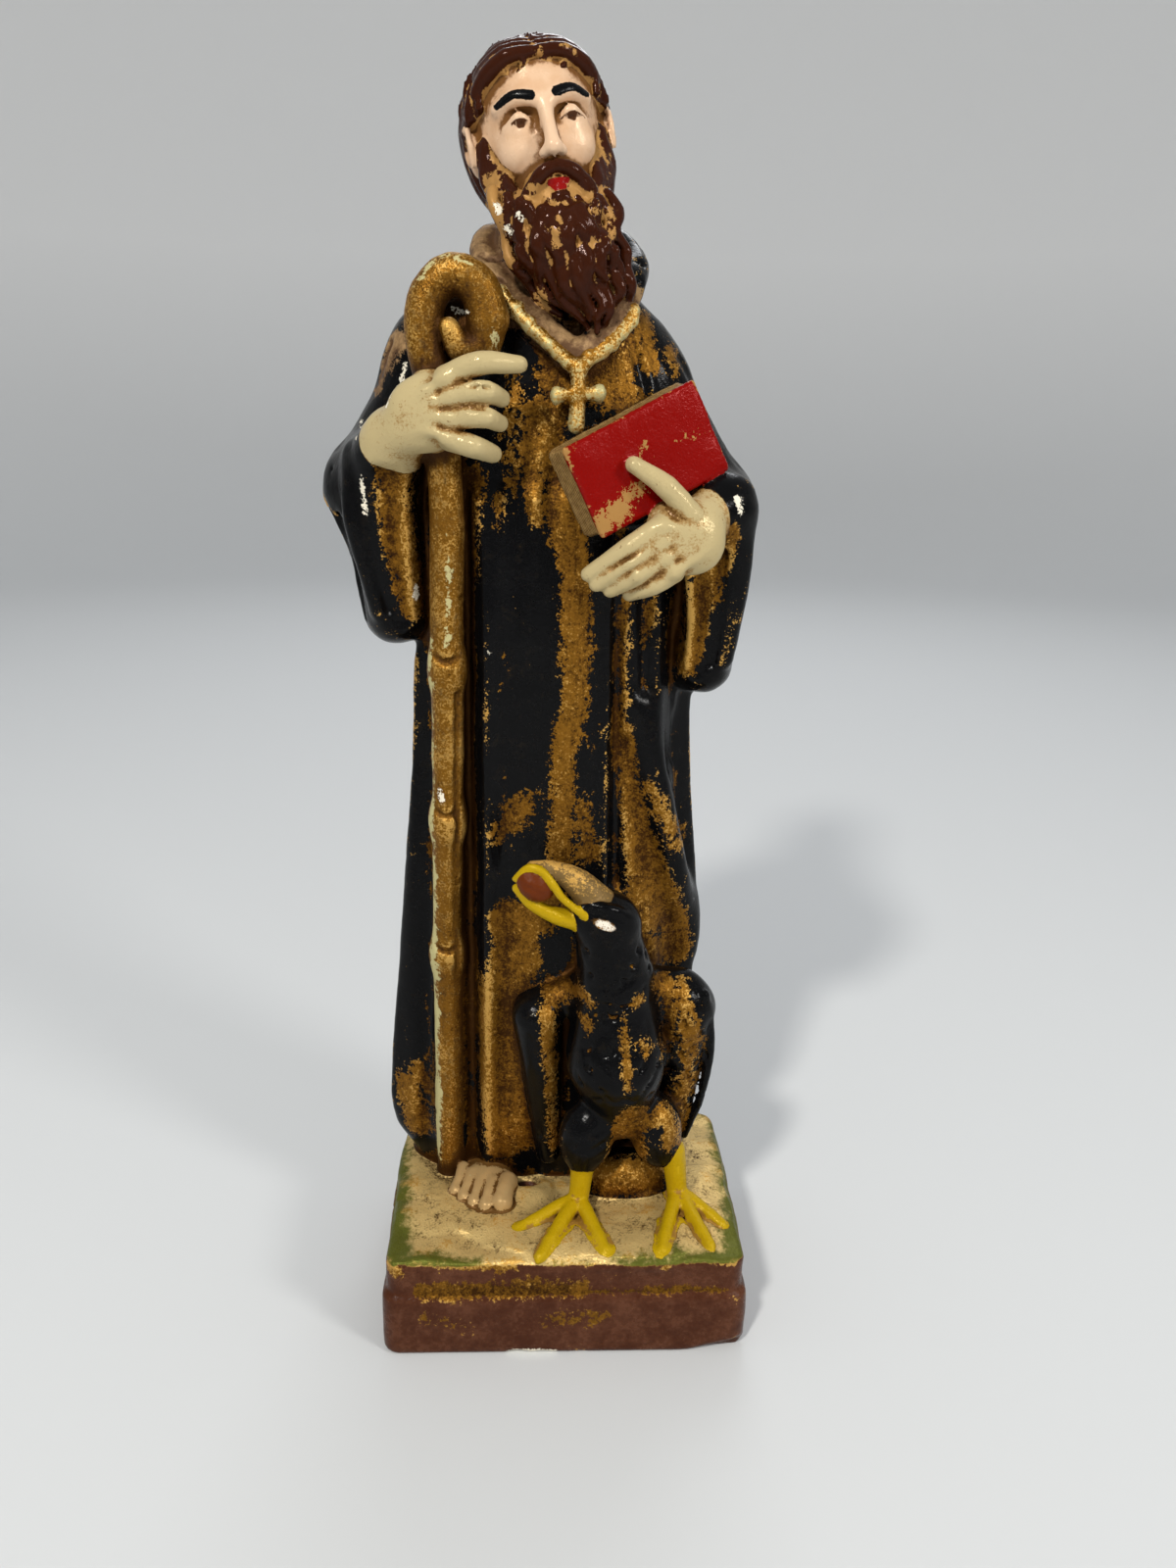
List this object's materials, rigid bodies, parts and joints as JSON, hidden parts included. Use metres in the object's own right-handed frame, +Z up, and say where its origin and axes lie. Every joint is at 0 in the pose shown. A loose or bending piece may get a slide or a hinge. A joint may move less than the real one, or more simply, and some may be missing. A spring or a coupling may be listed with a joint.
{
  "type": "painted plaster saint statue",
  "caption": "Painted plaster figure of a bearded monk saint holding a crook and a red book, a raven at his feet, cast in one with its stepped rectangular plinth.",
  "frame": {"origin": "centre of the plinth's flat underside, which stands on the floor or shelf", "axes": "+Z up through the figure, the saint faces -Y, +X is the side of his left arm and the book"},
  "size_m": [0.0765, 0.0515, 0.2218],
  "materials": {
    "painted_plaster": "solid cast plaster, hand painted in gloss black over gold, with worn and chipped paint"
  },
  "bodies": {
    "root": {"saint_statue": "painted_plaster"}
  },
  "joints": []
}
